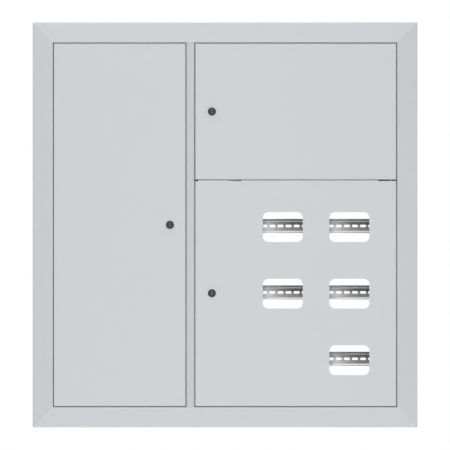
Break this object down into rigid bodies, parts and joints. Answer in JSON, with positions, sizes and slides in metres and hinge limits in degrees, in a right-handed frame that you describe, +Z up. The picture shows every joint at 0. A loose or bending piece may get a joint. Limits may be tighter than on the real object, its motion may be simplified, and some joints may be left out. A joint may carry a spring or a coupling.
{
  "type": "floor distribution board",
  "caption": "Flush-mounted sheet steel floor distribution board with a sloped frame, hinged lockable doors and glazed meter windows over short rails.",
  "frame": {"origin": "centre of the four rear fixing holes, on the back plane of the housing", "axes": "+X to the right of a viewer who faces the doors, +Y into the wall, +Z up"},
  "size_m": [0.95, 0.1415, 1],
  "materials": {
    "paint": "light grey powder coat",
    "rail_steel": "zinc plated",
    "zinc_steel": "zinc plated",
    "pane": "clear polycarbonate",
    "lock_body": "black",
    "lock_plug": "dark die-cast",
    "insulator": "blue",
    "brass": "plain"
  },
  "bodies": {
    "cabinet": {"breaker_cover": "paint", "breaker_post_left": "paint", "breaker_post_right": "paint", "breaker_rail": "rail_steel", "centre_post": "paint", "compartment_shelf": "paint", "cover_pillars": "zinc_steel", "distribution_hinge_brackets": "zinc_steel", "distribution_hinge_pins": "zinc_steel", "earth_bar": "brass", "front_frame": "paint", "housing_body": "paint", "left_hinge_brackets": "zinc_steel", "left_hinge_pins": "zinc_steel", "meter_hinge_brackets": "zinc_steel", "meter_hinge_pins": "zinc_steel", "meter_post_left": "paint", "meter_post_middle": "paint", "meter_post_right": "paint", "meter_rail_1": "rail_steel", "meter_rail_2": "rail_steel", "meter_rail_3": "rail_steel", "meter_rail_4": "rail_steel", "meter_rail_5": "rail_steel", "mounting_strip_lower": "rail_steel", "mounting_strip_upper": "rail_steel", "neutral_bar": "brass", "neutral_insulators": "insulator", "partition_wall": "paint"},
    "left_door": {"left_door": "paint", "left_hinge_leaves": "zinc_steel", "left_lock_barrel": "lock_body", "left_lock_nut": "zinc_steel"},
    "left_lock": {"left_lock_plug": "lock_plug", "left_lock_cam": "zinc_steel"},
    "distribution_door": {"distribution_door": "paint", "distribution_hinge_leaves": "zinc_steel", "distribution_lock_barrel": "lock_body", "distribution_lock_nut": "zinc_steel"},
    "distribution_lock": {"distribution_lock_plug": "lock_plug", "distribution_lock_cam": "zinc_steel"},
    "meter_door": {"meter_door": "paint", "meter_hinge_leaves": "zinc_steel", "meter_lock_barrel": "lock_body", "meter_lock_nut": "zinc_steel", "glazing_strip_1_lower": "zinc_steel", "glazing_strip_1_upper": "zinc_steel", "glazing_strip_2_lower": "zinc_steel", "glazing_strip_2_upper": "zinc_steel", "glazing_strip_3_lower": "zinc_steel", "glazing_strip_3_upper": "zinc_steel", "meter_pane_1": "pane", "meter_pane_2": "pane", "meter_pane_3": "pane", "meter_pane_4": "pane", "meter_pane_5": "pane"},
    "meter_lock": {"meter_lock_plug": "lock_plug", "meter_lock_cam": "zinc_steel"}
  },
  "joints": [
    {"name": "left_door_hinge", "type": "hinge", "parent": "cabinet", "child": "left_door", "pos_m": [-0.4135, -0.1332, 0], "axis": [0, 0, -1], "range_deg": [0, 110]},
    {"name": "left_lock_turn", "type": "hinge", "parent": "left_door", "child": "left_lock", "pos_m": [-0.136, -0.139, 0], "axis": [0, -1, 0], "range_deg": [0, 90]},
    {"name": "distribution_door_hinge", "type": "hinge", "parent": "cabinet", "child": "distribution_door", "pos_m": [0.4135, -0.1332, 0.27982], "axis": [0, 0, 1], "range_deg": [0, 110]},
    {"name": "distribution_lock_turn", "type": "hinge", "parent": "distribution_door", "child": "distribution_lock", "pos_m": [-0.0325, -0.139, 0.27982], "axis": [0, 1, 0], "range_deg": [0, 90]},
    {"name": "meter_door_hinge", "type": "hinge", "parent": "cabinet", "child": "meter_door", "pos_m": [0.4135, -0.1332, -0.16882], "axis": [0, 0, 1], "range_deg": [0, 110]},
    {"name": "meter_lock_turn", "type": "hinge", "parent": "meter_door", "child": "meter_lock", "pos_m": [-0.0325, -0.139, -0.16882], "axis": [0, 1, 0], "range_deg": [0, 90]}
  ]
}
